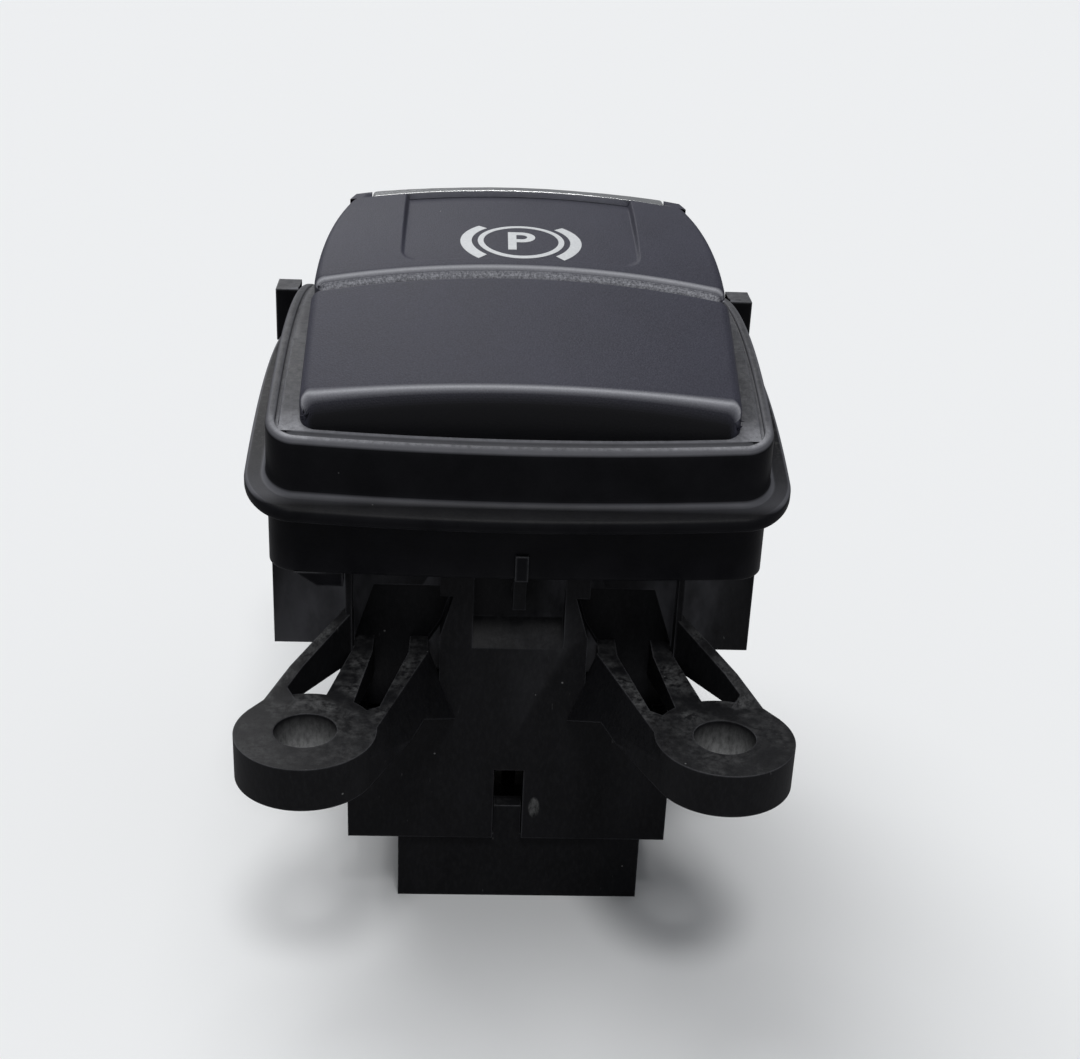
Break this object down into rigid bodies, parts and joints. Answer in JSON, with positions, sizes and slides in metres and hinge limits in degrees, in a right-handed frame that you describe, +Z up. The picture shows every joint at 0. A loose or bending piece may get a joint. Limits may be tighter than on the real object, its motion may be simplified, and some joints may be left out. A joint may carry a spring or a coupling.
{
  "type": "electric parking brake switch",
  "caption": "Console switch with a pull-up and push-down button behind a fixed hood, a trim frame, a black body with two screw arms and a connector below.",
  "frame": {"origin": "on the surface that the connector's mouth stands on, under the middle of the whole part's box", "axes": "+X to the right across the switch, +Y from the screw arms to the finger well, +Z up"},
  "size_m": [0.0506, 0.067, 0.0651],
  "materials": {
    "trim_black": "satin moulded black with a fine grain",
    "soft_touch": "soft-touch dark slate grey paint",
    "bright_trim": "satin chrome plating",
    "milky_plastic": "milky translucent moulding",
    "acetal": "natural acetal moulding",
    "body_black": "glass-filled black moulding, dusty",
    "board_green": "green solder resist",
    "clear_plastic": "clear acrylic",
    "diode_white": "white diode case",
    "diode_red": "red diode case",
    "resistor_black": "black component case",
    "plunger_grey": "grey acetal",
    "steel": "drawn steel",
    "tinned_metal": "tinned copper alloy"
  },
  "bodies": {
    "housing": {"housing": "body_black", "bezel": "trim_black", "base_cover": "body_black", "plunger_guide": "acetal", "pivot_pin": "steel", "circuit_board": "board_green", "light_guide": "clear_plastic", "led_white": "diode_white", "led_red": "diode_red", "resistors": "resistor_black", "pull_key_left": "resistor_black", "pull_spring_left": "steel", "pull_key_right": "resistor_black", "pull_spring_right": "steel", "push_key_left": "resistor_black", "push_spring_left": "steel", "push_key_right": "resistor_black", "push_spring_right": "steel", "terminal_1": "tinned_metal", "terminal_2": "tinned_metal", "terminal_3": "tinned_metal", "terminal_4": "tinned_metal", "terminal_5": "tinned_metal", "terminal_6": "tinned_metal", "terminal_7": "tinned_metal", "terminal_8": "tinned_metal", "terminal_9": "tinned_metal", "terminal_10": "tinned_metal"},
    "button": {"button": "soft_touch", "chrome_strip": "bright_trim", "symbol_diffuser": "milky_plastic", "rocker": "acetal"},
    "pull_plunger_left_body": {"pull_plunger_left": "plunger_grey", "pull_stem_left": "plunger_grey"},
    "pull_plunger_right_body": {"pull_plunger_right": "plunger_grey", "pull_stem_right": "plunger_grey"},
    "push_plunger_left_body": {"push_plunger_left": "plunger_grey", "push_stem_left": "plunger_grey"},
    "push_plunger_right_body": {"push_plunger_right": "plunger_grey", "push_stem_right": "plunger_grey"}
  },
  "joints": [
    {"name": "button_tilt", "type": "hinge", "parent": "housing", "child": "button", "pos_m": [0, 0.0023, 0.0515], "axis": [1, 0, 0], "range_deg": [-4.5, 6], "stiffness_Nm_per_rad": 0.6},
    {"name": "pull_plunger_left_slide", "type": "slide", "parent": "housing", "child": "pull_plunger_left_body", "axis": [0, 0, 1], "range_m": [-0.00067, 0.0005], "deforming": ["pull_spring_left"]},
    {"name": "pull_plunger_right_slide", "type": "slide", "parent": "housing", "child": "pull_plunger_right_body", "axis": [0, 0, 1], "range_m": [-0.00067, 0.0005], "deforming": ["pull_spring_right"]},
    {"name": "push_plunger_left_slide", "type": "slide", "parent": "housing", "child": "push_plunger_left_body", "axis": [0, 0, 1], "range_m": [-0.00072, 0.00095], "deforming": ["push_spring_left"]},
    {"name": "push_plunger_right_slide", "type": "slide", "parent": "housing", "child": "push_plunger_right_body", "axis": [0, 0, 1], "range_m": [-0.00072, 0.00095], "deforming": ["push_spring_right"]}
  ],
  "couplings": [
    {"joint": "pull_plunger_left_slide", "follows": "button_tilt", "m_per_rad": -0.0063},
    {"joint": "pull_plunger_right_slide", "follows": "button_tilt", "m_per_rad": -0.0063},
    {"joint": "push_plunger_left_slide", "follows": "button_tilt", "m_per_rad": 0.009},
    {"joint": "push_plunger_right_slide", "follows": "button_tilt", "m_per_rad": 0.009}
  ]
}
